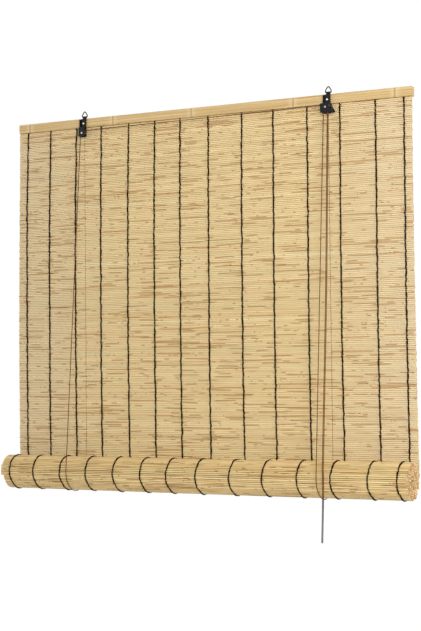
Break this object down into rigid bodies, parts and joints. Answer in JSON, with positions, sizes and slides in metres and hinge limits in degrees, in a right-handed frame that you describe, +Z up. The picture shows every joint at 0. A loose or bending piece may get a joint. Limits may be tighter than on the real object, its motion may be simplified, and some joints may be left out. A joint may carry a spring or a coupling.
{
  "type": "bamboo roller blind",
  "caption": "Roll-up blind of natural reeds woven on black cords, with a bamboo headrail, ringed hanging fittings, pulleys, a cord lock and the foot rolled up in cord slings.",
  "frame": {"origin": "centre of the headrail's flat back face, which lies against the wall or window frame", "axes": "+X to the right seen from the room, +Y into the wall, +Z up; the mat hangs along -Z"},
  "size_m": [1.2, 0.1109, 1.1812],
  "materials": {
    "bamboo_batten": "smooth honey-coloured bamboo strip",
    "reed": "natural straw-coloured reed with brown streaks",
    "warp_cord": "black twined cord",
    "black_steel": "black painted pressed steel",
    "bright_steel": "bright steel",
    "lift_cord": "red-brown twisted cord"
  },
  "bodies": {
    "headrail": {"front_batten": "bamboo_batten", "back_batten": "bamboo_batten", "batten_nails": "bright_steel", "reed_sheet": "reed", "warp_cord_1": "warp_cord", "warp_cord_2": "warp_cord", "warp_cord_3": "warp_cord", "warp_cord_4": "warp_cord", "warp_cord_5": "warp_cord", "warp_cord_6": "warp_cord", "warp_cord_7": "warp_cord", "warp_cord_8": "warp_cord", "warp_cord_9": "warp_cord", "warp_cord_10": "warp_cord", "warp_cord_11": "warp_cord", "warp_cord_12": "warp_cord", "warp_cord_13": "warp_cord", "warp_cord_14": "warp_cord", "hanger_screws": "bright_steel", "left_hanger": "black_steel", "left_housing": "black_steel", "left_axle": "bright_steel", "right_hanger": "black_steel", "right_housing": "black_steel", "right_axle": "bright_steel", "cross_cord": "lift_cord", "right_cord_bend": "lift_cord", "left_lift_front": "lift_cord", "left_lift_back": "lift_cord", "right_lift_front": "lift_cord", "right_lift_back": "lift_cord", "pull_cord_rear": "lift_cord", "pull_cord_front": "lift_cord"},
    "slings": {"left_lift_sling": "lift_cord", "right_lift_sling": "lift_cord"},
    "roll": {"reed_roll": "reed", "foot_batten": "bamboo_batten", "roll_warp_cord_1": "warp_cord", "roll_warp_cord_2": "warp_cord", "roll_warp_cord_3": "warp_cord", "roll_warp_cord_4": "warp_cord", "roll_warp_cord_5": "warp_cord", "roll_warp_cord_6": "warp_cord", "roll_warp_cord_7": "warp_cord", "roll_warp_cord_8": "warp_cord", "roll_warp_cord_9": "warp_cord", "roll_warp_cord_10": "warp_cord", "roll_warp_cord_11": "warp_cord", "roll_warp_cord_12": "warp_cord", "roll_warp_cord_13": "warp_cord", "roll_warp_cord_14": "warp_cord"},
    "pull_cord_end": {"pull_end_rear": "lift_cord", "pull_end_front": "lift_cord"},
    "left_sheave": {"left_sheave": "bright_steel"},
    "right_rear_sheave": {"right_rear_sheave": "bright_steel"},
    "right_front_sheave": {"right_front_sheave": "bright_steel"},
    "lock_roller": {"lock_roller": "bright_steel"},
    "left_ring": {"left_ring": "black_steel"},
    "right_ring": {"right_ring": "black_steel"}
  },
  "joints": [
    {"name": "roll_lift", "type": "slide", "parent": "headrail", "child": "slings", "axis": [0, 0, 1], "range_m": [0, 0.8], "deforming": ["reed_sheet", "warp_cord_1", "warp_cord_2", "warp_cord_3", "warp_cord_4", "warp_cord_5", "warp_cord_6", "warp_cord_7", "warp_cord_8", "warp_cord_9", "warp_cord_10", "warp_cord_11", "warp_cord_12", "warp_cord_13", "warp_cord_14", "left_lift_front", "right_lift_front", "left_lift_back", "right_lift_back", "pull_cord_rear", "pull_cord_front"]},
    {"name": "roll_turn", "type": "hinge", "parent": "slings", "child": "roll", "pos_m": [0, -0.05789, -0.9955], "axis": [1, 0, 0], "range_deg": [-967, 0]},
    {"name": "pull_cord_draw", "type": "slide", "parent": "slings", "child": "pull_cord_end", "axis": [0, 0, -1], "range_m": [0, 2.4], "deforming": ["pull_end_rear", "pull_end_front"]},
    {"name": "left_sheave_turn", "type": "hinge", "parent": "headrail", "child": "left_sheave", "pos_m": [-0.38, -0.0267, -0.03], "axis": [0, 1, 0], "continuous": true},
    {"name": "right_rear_sheave_turn", "type": "hinge", "parent": "headrail", "child": "right_rear_sheave", "pos_m": [0.3685, -0.0267, -0.02375], "axis": [0, 1, 0], "continuous": true},
    {"name": "right_front_sheave_turn", "type": "hinge", "parent": "headrail", "child": "right_front_sheave", "pos_m": [0.3685, -0.0323, -0.02375], "axis": [0, 1, 0], "continuous": true},
    {"name": "lock_roller_slide", "type": "slide", "parent": "headrail", "child": "lock_roller", "axis": [0.4545, 0, -0.8908], "range_m": [0, 0.008]},
    {"name": "left_ring_swing", "type": "hinge", "parent": "headrail", "child": "left_ring", "pos_m": [-0.3755, -0.02155, 0.016], "axis": [1, 0, 0], "range_deg": [-90, 90]},
    {"name": "right_ring_swing", "type": "hinge", "parent": "headrail", "child": "right_ring", "pos_m": [0.372, -0.02155, 0.016], "axis": [1, 0, 0], "range_deg": [-90, 90]}
  ],
  "couplings": [
    {"joint": "roll_turn", "follows": "roll_lift", "rad_per_m": -21.057},
    {"joint": "pull_cord_draw", "follows": "roll_lift", "ratio": 3},
    {"joint": "left_sheave_turn", "follows": "roll_lift", "rad_per_m": 307.69},
    {"joint": "right_rear_sheave_turn", "follows": "roll_lift", "rad_per_m": 307.69},
    {"joint": "right_front_sheave_turn", "follows": "roll_lift", "rad_per_m": 307.69}
  ]
}
